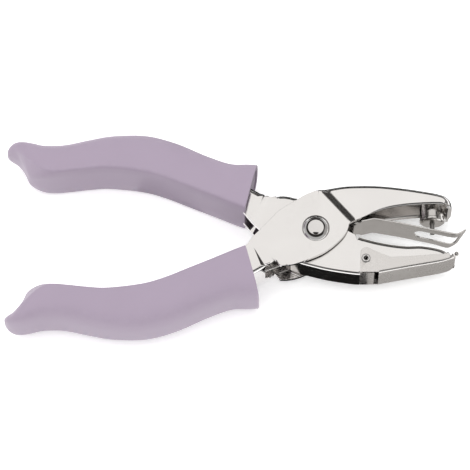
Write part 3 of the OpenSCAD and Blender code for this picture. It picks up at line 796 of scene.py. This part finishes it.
# grips
gripLook = {"rings": 150, "half": 10.0, "mouthWall": 1.5, "mouthDepth": 0.5, "mouthEdge": 0.4,
            "mouthAngle": 58,
            "tailFrom": 0.56, "tailOver": 0.2, "crease": 0.016, "tailCrease": 0.4, "low": 0.87,
            "tailLow": 0.45,
            "shoulder": 0.93, "creaseWidth": 0.06}
gripIn = [(-23.5, -6.5), (-27, -7.9), (-33.7, -10.8), (-42, -14.3), (-50.4, -17.8), (-58, -20), (-69, -21.3),
          (-75.4, -21), (-82.6, -20.2), (-89.2, -19.6), (-93.2, -19.9), (-95.7, -21), (-97, -23.5),
          (-98.6, -26.4),
          (-100.9, -28.1), (-102.4, -28.8)]
gripOut = [(-19, -24), (-22.4, -24.2), (-28.1, -24.3), (-36, -27.2), (-46.5, -32), (-56.5, -34.7),
           (-67.5, -34.6),
           (-75.5, -33.1), (-83.7, -31.3), (-90.6, -31.2), (-94.4, -32), (-97.6, -32.6), (-100.2, -32.6),
           (-102, -31.8), (-103.1, -30.6), (-103.3, -29.8)]
gripFat = [1, 1, 1, 1, 1, 1, 1, 1, 1, 0.985, 0.95, 0.88, 0.77, 0.62, 0.42, 0.2]


def along(values, t):
    last = len(values) - 1
    i = min(int(t * last), last - 1)
    f = t * last - i
    a, b, c, d = (Vector(v) if isinstance(v, tuple) else v
                  for v in (values[max(i - 1, 0)], values[i], values[i + 1], values[min(i + 2, last)]))
    return 0.5 * (b * 2 + (c - a) * f + (a * 2 - b * 5 + c * 4 - d) * f * f + (b * 3 - a - c * 3 + d)
                  * f ** 3)


def gripSection(t):
    # from the flat inner side over the crease and the crowned face to the round back
    tail = smooth((t - gripLook["tailFrom"]) / gripLook["tailOver"])
    crease = gripLook["crease"] + gripLook["tailCrease"] * tail
    low = gripLook["low"] - gripLook["tailLow"] * tail
    high = gripLook["shoulder"]
    first = crease + gripLook["creaseWidth"]
    upper = [(0.0, 0.0), (0.0, low * 0.5), (0.0, low), (crease * 0.35, low + (high - low) * 0.28),
             (crease * 0.7, low + (high - low) * 0.66), (crease, high), (crease + 0.02, 0.962), (first, 0.98)]
    for share, z in ((0.2, 0.992), (0.4, 1.0), (0.56, 0.99), (0.68, 0.965), (0.78, 0.92), (0.86, 0.85),
                     (0.92, 0.75),
                     (0.965, 0.6), (0.99, 0.4), (1.0, 0.2)):
        upper.append((first + (1 - first) * share, z))
    upper.append((1.0, 0.0))
    return upper + [(u, -z) for u, z in upper[-2:0:-1]]


def makeGrip(name, mirror):
    bm = bmesh.new()
    rings = []
    for i in range(gripLook["rings"] + 1):
        t = i / gripLook["rings"]
        a, b, fat = along(gripIn, t), along(gripOut, t), min(along(gripFat, t), 1.0)
        rings.append([(a.lerp(b, u), z * fat * gripLook["half"]) for u, z in gripSection(t)])
    back = (Vector(gripIn[1]) - Vector(gripIn[0])).normalized()
    centre = sum((p for p, z in rings[0]), Vector((0, 0))) / len(rings[0])
    wall, depth = gripLook["mouthWall"], gripLook["mouthDepth"]
    inner = []
    for p, z in rings[0]:
        reach = (p - centre).length
        inner.append((centre + (p - centre) * max(1 - wall / max(reach, 0.1), 0.2) if reach > 0.1 else p,
                      z * (1 - wall / gripLook["half"])))
    rings = [[(p + back * depth, z) for p, z in inner], inner] + rings
    made = [[bm.verts.new(place(p.x, mirror * p.y, z)) for p, z in ring] for ring in rings]
    for low, high in zip(made, made[1:]):
        for k in range(len(low)):
            j = (k + 1) % len(low)
            bm.faces.new((low[k], low[j], high[j], high[k]))
    bm.faces.new(made[0])
    bm.faces.new(made[-1][::-1])
    bmesh.ops.recalc_face_normals(bm, faces=bm.faces)
    obj = pieceOf(name, bm, "softVinyl", sharp=60.0)
    rim = obj.modifiers.new("edge", "BEVEL")
    rim.width = gripLook["mouthEdge"] * mm
    rim.segments = 3
    rim.limit_method = "ANGLE"
    rim.angle_limit = math.radians(gripLook["mouthAngle"])
    return settle(obj)


finishPiece(makeGrip("grip_lower_vinyl", 1), "outer_arm", "grip_vinyl", "grip_lower")
finishPiece(makeGrip("grip_upper_vinyl", -1), "inner_arm", "grip_vinyl", "grip_upper")
print("grips made")


# wire parts and repeated parts, by geometry nodes
def newTree(name):
    tree = bpy.data.node_groups.new(name, "GeometryNodeTree")
    tree.interface.new_socket(name="Geometry", in_out="INPUT", socket_type="NodeSocketGeometry")
    tree.interface.new_socket(name="Geometry", in_out="OUTPUT", socket_type="NodeSocketGeometry")
    return tree


def treeInput(tree, name, kind, value=None):
    socket = tree.interface.new_socket(name=name, in_out="INPUT", socket_type=kind)
    if value is not None:
        socket.default_value = value
    return socket.identifier


def makeWireTree():
    # a round wire along the curve that the object holds
    tree = newTree("wireAlongCurve")
    radius = treeInput(tree, "Wire Radius", "NodeSocketFloat", 0.0005)
    sides = treeInput(tree, "Sides", "NodeSocketInt", 14)
    material = treeInput(tree, "Finish", "NodeSocketMaterial")
    given, out = addNode(tree, "NodeGroupInput"), addNode(tree, "NodeGroupOutput")
    ring = addNode(tree, "GeometryNodeCurvePrimitiveCircle", {"Radius": given.outputs["Wire Radius"],
                                                              "Resolution": given.outputs["Sides"]})
    tube = addNode(tree, "GeometryNodeCurveToMesh", {"Curve": given.outputs["Geometry"],
                                                     "Profile Curve": ring.outputs["Curve"],
                                                     "Fill Caps": True})
    shade = addNode(tree, "GeometryNodeSetShadeSmooth", {"Geometry": tube.outputs["Mesh"]})
    real = addNode(tree, "GeometryNodeRealizeInstances", {"Geometry": shade.outputs["Geometry"]})
    paint = addNode(tree, "GeometryNodeSetMaterial", {"Geometry": real.outputs["Geometry"],
                                                      "Material": given.outputs["Finish"]})
    tree.links.new(paint.outputs["Geometry"], out.inputs["Geometry"])
    return tree, radius, sides, material


def makePairTree():
    # one turned part on each side of the tool, the second one turned over
    tree = newTree("pairAcross")
    part = treeInput(tree, "Part", "NodeSocketObject")
    axisX = treeInput(tree, "Axis X", "NodeSocketFloat", 0.0)
    axisY = treeInput(tree, "Axis Y", "NodeSocketFloat", 0.0)
    middle = treeInput(tree, "Middle Z", "NodeSocketFloat", 0.0)
    material = treeInput(tree, "Finish", "NodeSocketMaterial")
    given, out = addNode(tree, "NodeGroupInput"), addNode(tree, "NodeGroupOutput")
    source = addNode(tree, "GeometryNodeObjectInfo", {"Object": given.outputs["Part"]})
    line = addNode(tree, "GeometryNodeMeshLine", {"Count": 2})
    index = addNode(tree, "GeometryNodeInputIndex")
    over = addNode(tree, "ShaderNodeMath", {0: index.outputs[0], 1: math.pi}, operation="MULTIPLY")
    turn = addNode(tree, "ShaderNodeCombineXYZ", {"X": over.outputs[0]})
    where = addNode(tree, "ShaderNodeCombineXYZ", {"X": given.outputs["Axis X"], "Y": given.outputs["Axis Y"],
                                                   "Z": given.outputs["Middle Z"]})
    spots = addNode(tree, "GeometryNodeSetPosition", {"Geometry": line.outputs["Mesh"],
                                                      "Position": where.outputs[0]})
    copies = addNode(tree, "GeometryNodeInstanceOnPoints", {"Points": spots.outputs["Geometry"],
                                                            "Instance": source.outputs["Geometry"],
                                                            "Rotation": turn.outputs[0]})
    real = addNode(tree, "GeometryNodeRealizeInstances", {"Geometry": copies.outputs["Instances"]})
    paint = addNode(tree, "GeometryNodeSetMaterial", {"Geometry": real.outputs["Geometry"],
                                                      "Material": given.outputs["Finish"]})
    tree.links.new(paint.outputs["Geometry"], out.inputs["Geometry"])
    return tree, part, axisX, axisY, middle, material


wireTree, wireRadius, wireSides, wireFinish = makeWireTree()
pairTree, pairPart, pairX, pairY, pairZ, pairFinish = makePairTree()


def baked(name, obj):
    # the evaluated object as a plain mesh in its own object
    bpy.context.view_layer.update()
    graph = bpy.context.evaluated_depsgraph_get()
    mesh = bpy.data.meshes.new_from_object(obj.evaluated_get(graph), preserve_all_data_layers=True,
                                           depsgraph=graph)
    bpy.data.objects.remove(obj)
    made = bpy.data.objects.new(name, mesh)
    bpy.context.collection.objects.link(made)
    bm = bmesh.new()
    bm.from_mesh(mesh)
    bmesh.ops.remove_doubles(bm, verts=bm.verts, dist=0.0000005)
    bmesh.ops.recalc_face_normals(bm, faces=bm.faces)
    bm.to_mesh(mesh)
    bm.free()
    mesh.shade_smooth()
    mesh.set_sharp_from_angle(angle=math.radians(38))
    return made


def wirePiece(name, points, radius, sides, material):
    curve = bpy.data.curves.new(name + "Path", "CURVE")
    curve.dimensions = "3D"
    spline = curve.splines.new("POLY")
    spline.points.add(len(points) - 1)
    for spot, p in zip(spline.points, points):
        spot.co = (*place(*p), 1.0)
    obj = bpy.data.objects.new(name + "Path", curve)
    bpy.context.collection.objects.link(obj)
    wire = obj.modifiers.new("wire", "NODES")
    wire.node_group = wireTree
    wire[wireRadius] = radius * mm
    wire[wireSides] = sides
    wire[wireFinish] = finish[material]
    return baked(name, obj)


springLook = {"wire": 0.5, "coil": 4.3, "rise": 2.9, "leg": (-17.2, 11.1), "turnsPoints": 240}


def springPath(look):
    legX, legY = look["leg"]
    lean = math.atan2(legY, legX)
    start = math.acos(look["coil"] / math.hypot(legX, legY)) - lean
    sweep = 8 * math.pi - 2 * start
    turns = []
    for k in range(look["turnsPoints"] + 1):
        t = k / look["turnsPoints"]
        a = start + sweep * t
        turns.append((look["coil"] * math.cos(a), look["coil"] * math.sin(a), look["rise"] * (2 * t - 1)))
    return [(legX, -legY, -look["rise"])] + turns + [(legX, legY, look["rise"])]


returnSpring = wirePiece("return_spring_wire", springPath(springLook), springLook["wire"], 14, "springSteel")
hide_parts("return_spring")
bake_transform(returnSpring)

latchLook = {"root": (42.4, -9.45), "ball": (47.0, -6.6), "wire": 0.4, "ballRadius": 0.75}


def makeLatchWire(look):
    root, ball = Vector(look["root"]), Vector(look["ball"])
    way = (ball - root).normalized()
    reach = (ball - root).length
    profile = [(0.0, 0.0), (look["wire"], 0.0), (look["wire"], reach - look["ballRadius"] * 0.95)]
    start = math.asin(look["wire"] / look["ballRadius"])
    for k in range(15):
        a = math.pi - start - (math.pi - start) * k / 14
        profile.append((look["ballRadius"] * math.sin(a) if k < 14 else 0.0,
                        reach + look["ballRadius"] * math.cos(a)))
    return lathe("latch_wire_turned", profile, "holderNickel", (root.x, root.y, 0), (way.x, way.y, 0),
                 segments=40,
                 closed=False)


finishPiece(makeLatchWire(latchLook), "inner_arm", "holder_nickel", "latch_wire")

catcherRivetLook = {"shank": 1.1, "bore": 0.62, "head": 1.5, "in": 3.62, "plate": 4.0, "seat": 6.0,
                    "top": 6.36}


def makeCatcherRivets(look):
    # a hollow rivet with a rolled head, then one on each side
    roll = []
    for k in range(9):
        a = math.pi * k / 8
        roll.append(((look["head"] + look["bore"]) / 2 + (look["head"] - look["bore"]) / 2 * math.cos(a),
                     look["seat"] + 0.08 + (look["top"] - look["seat"] - 0.04) * math.sin(a)))
    profile = ([(look["bore"], look["in"]), (look["head"], look["in"]), (look["head"], look["plate"] - 0.02),
                (look["shank"], look["plate"] - 0.02), (look["shank"], look["seat"])] + roll)
    single = lathe("singleRivet", profile, "rivetChrome", (0, 0, 0), (0, 0, 1), segments=48)
    single.data.transform(Matrix.Translation(-place(0, 0)))
    holder = bpy.data.objects.new("rivetPair", bpy.data.meshes.new("rivetPair"))
    bpy.context.collection.objects.link(holder)
    pair = holder.modifiers.new("pair", "NODES")
    pair.node_group = pairTree
    pair[pairPart] = single
    pair[pairX], pair[pairY], pair[pairZ] = catcherAt.x, catcherAt.y, pivotAt.z
    pair[pairFinish] = finish["rivetChrome"]
    made = baked("catcher_rivets_rolled", holder)
    bpy.data.objects.remove(single)
    return made


finishPiece(makeCatcherRivets(catcherRivetLook), "inner_arm", "rivet_chrome", "catcher_rivets")

# finishes on the parts whose shape needs no change
keptParts = {"pivot_bush": "darkSteel", "pivot_washers": "darkSteel", "pin_screw": "darkSteel",
             "die_bush": "darkSteel", "stripper_pin": "darkSteel", "catcher_detent": "catcherNickel",
             "latch_clip": "holderNickel"}
for part, material in keptParts.items():
    mesh = frame["nodes"][part].data
    mesh.materials.clear()
    mesh.materials.append(finish[material])
print("small parts finished")

# floor, light and camera
# low and high ends of the shading steps are shares of a unit direction towards the world
studioLook = {"floor": 0.93, "floorRough": 0.9, "glow": 0.3, "fill": 0.95, "size": 3.0, "drop": 0.0002,
              "reflectTop": (0.95, 0.93575, 0.9215), "ceilingLean": (0.0, 0.12, 0.993),
              "ceilingEdge": (0.76, 0.81), "horizon": [(0.0, 0.55), (0.86, 0.5), (0.96, 0.05), (1.0, 0.015)],
              "horizonSpan": (-0.1, 0.5), "backEdge": (0.8, 0.95), "bandEdge": (0.42, 0.5),
              "sideEdge": (0.68, 0.9), "gapAt": (0.0, -0.29, 0.957), "gapEdge": (0.96, 0.98),
              "dark": (0.03, 0.028, 0.026, 1), "sideGrey": (0.4, 0.39, 0.38, 1),
              "flagTint": (1, 0.97, 0.94, 1),
              "lampPower": 3.0, "lampSize": 0.7, "lampAt": (-0.15, 0.1, 0.75)}
# flags that only reflections see, painted dark and grey reflections (the heel flag is a painted shadow under
# the tool): two corners in millimetres from the pivot, and how bright
reflectionFlags = {"heelFlag": ((-13, -27), (17.5, -9), 0.01), "catcherFlag": ((17.5, -27), (60, -6), 0.42),
                   "mouthFlag": ((8, -6), (60, 12), 0.5), "farFlag": ((-60, 12), (70, 300), 0.01)}


def makeFloor(look):
    mesh = bpy.data.meshes.new("studioFloor")
    bm = bmesh.new()
    bmesh.ops.create_grid(bm, x_segments=4, y_segments=4, size=look["size"])
    bm.to_mesh(mesh)
    bm.free()
    floor = bpy.data.objects.new("studioFloor", mesh)
    bpy.context.collection.objects.link(floor)
    mat = bpy.data.materials.new("paleFloor")
    mat.use_nodes = True
    shader = mat.node_tree.nodes["Principled BSDF"]
    shader.inputs["Base Color"].default_value = (look["floor"], look["floor"], look["floor"], 1)
    shader.inputs["Roughness"].default_value = look["floorRough"]
    shader.inputs["Specular IOR Level"].default_value = 0.0
    shader.inputs["Emission Color"].default_value = (1, 1, 1, 1)
    shader.inputs["Emission Strength"].default_value = look["glow"]
    mesh.materials.append(mat)
    floor.location.z = -look["drop"]


def makeFlag(look, name, low, high, shade):
    # a card just above the floor that only polished metal sees: a painted reflection, glowing at the given
    # brightness
    bm = bmesh.new()
    corners = [(low[0], low[1]), (high[0], low[1]), (high[0], high[1]), (low[0], high[1])]
    bm.faces.new([bm.verts.new((pivotAt.x + x * mm, pivotAt.y + y * mm, look["drop"])) for x, y in corners])
    mesh = bpy.data.meshes.new(name)
    bm.to_mesh(mesh)
    bm.free()
    flag = bpy.data.objects.new(name, mesh)
    bpy.context.collection.objects.link(flag)
    mat = bpy.data.materials.new(name)
    mat.use_nodes = True
    shader = mat.node_tree.nodes["Principled BSDF"]
    shader.inputs["Base Color"].default_value = (0, 0, 0, 1)
    shader.inputs["Specular IOR Level"].default_value = 0.0
    # the glow is the painted reflection: near black for painted shade, grey for a paler painted reflection
    shader.inputs["Emission Color"].default_value = look["flagTint"]
    shader.inputs["Emission Strength"].default_value = shade
    mesh.materials.append(mat)
    flag.visible_camera = flag.visible_diffuse = flag.visible_shadow = False


def stepBetween(tree, value, edge):
    # soft mask that rises from the first end to the second
    return addNode(tree, "ShaderNodeMapRange", {"Value": value, "From Min": edge[0], "From Max": edge[1]},
                   interpolation_type="SMOOTHSTEP").outputs["Result"]


def blendTo(tree, mask, under, colour):
    # the colour laid over what is under it, by the mask
    mixed = addNode(tree, "ShaderNodeMix", {"Factor": mask, "A": under}, data_type="RGBA")
    mixed.inputs["B"].default_value = colour
    return mixed.outputs["Result"]


def towards(tree, where, direction):
    return addNode(tree, "ShaderNodeVectorMath", {0: where, 1: direction},
                   operation="DOT_PRODUCT").outputs["Value"]


def makeWorld(look):
    # even pale light; polished metal sees a bright ceiling, a dark band and a paler horizon
    world = bpy.data.worlds.new("studio")
    world.use_nodes = True
    tree = world.node_tree
    tree.nodes.clear()
    out = addNode(tree, "ShaderNodeOutputWorld")
    where = addNode(tree, "ShaderNodeTexCoord").outputs["Generated"]
    parts = addNode(tree, "ShaderNodeSeparateXYZ", {"Vector": where}).outputs
    height = addNode(tree, "ShaderNodeMapRange", {"Value": parts["Z"], "From Min": look["horizonSpan"][0],
                                                  "From Max": look["horizonSpan"][1]})
    sky = rampOf(tree, height.outputs["Result"], look["horizon"])
    sky = blendTo(tree, stepBetween(tree, parts["Y"], look["backEdge"]), sky, look["dark"])
    sky = blendTo(tree, stepBetween(tree, parts["Z"], look["bandEdge"]), sky, look["dark"])
    sky = blendTo(tree, stepBetween(tree, parts["X"], look["sideEdge"]), sky, look["sideGrey"])
    ceiling = stepBetween(tree, towards(tree, where, look["ceilingLean"]), look["ceilingEdge"])
    sky = blendTo(tree, ceiling, sky, (*look["reflectTop"], 1))
    gap = stepBetween(tree, towards(tree, where, look["gapAt"]), look["gapEdge"])
    sky = blendTo(tree, gap, sky, look["dark"])
    path = addNode(tree, "ShaderNodeLightPath")
    seen = addNode(tree, "ShaderNodeBackground", {"Color": sky})
    plain = addNode(tree, "ShaderNodeBackground", {"Color": (1, 1, 1, 1), "Strength": look["fill"]})
    both = addNode(tree, "ShaderNodeMixShader", {"Fac": path.outputs["Is Glossy Ray"], 1: plain.outputs[0],
                                                 2: seen.outputs[0]})
    tree.links.new(both.outputs[0], out.inputs["Surface"])
    bpy.context.scene.world = world


def makeLamp(look):
    data = bpy.data.lights.new("softbox", "AREA")
    data.shape = "SQUARE"
    data.size = look["lampSize"]
    data.energy = look["lampPower"]
    data.use_shadow = True
    lamp = bpy.data.objects.new("softbox", data)
    lamp.location = look["lampAt"]
    lamp.rotation_euler = (Vector((0, 0, 0)) - lamp.location).to_track_quat("-Z", "Y").to_euler()
    lamp.visible_glossy = False
    bpy.context.collection.objects.link(lamp)


cameraLook = {"elevation": 67.9, "azimuth": 0.35, "distance": 1.2, "width": 0.157,
              "aim": (0.0, 0.00065, 0.010)}


def makeCamera(look):
    data = bpy.data.cameras.new("camera")
    data.sensor_width = 36.0
    data.lens = data.sensor_width * look["distance"] / look["width"]
    data.clip_start = 0.01
    camera = bpy.data.objects.new("camera", data)
    rise, turn = math.radians(look["elevation"]), math.radians(look["azimuth"])
    aim = Vector(look["aim"])
    camera.location = aim + look["distance"] * Vector((-math.sin(turn) * math.cos(rise),
                                                       -math.cos(turn) * math.cos(rise), math.sin(rise)))
    camera.rotation_euler = (aim - camera.location).to_track_quat("-Z", "Y").to_euler()
    bpy.context.collection.objects.link(camera)
    bpy.context.scene.camera = camera


makeFloor(studioLook)
for name, (low, high, shade) in reflectionFlags.items():
    makeFlag(studioLook, name, low, high, shade)
makeWorld(studioLook)
makeLamp(studioLook)
makeCamera(cameraLook)
bpy.context.scene.view_settings.view_transform = "Standard"
print("studio made")
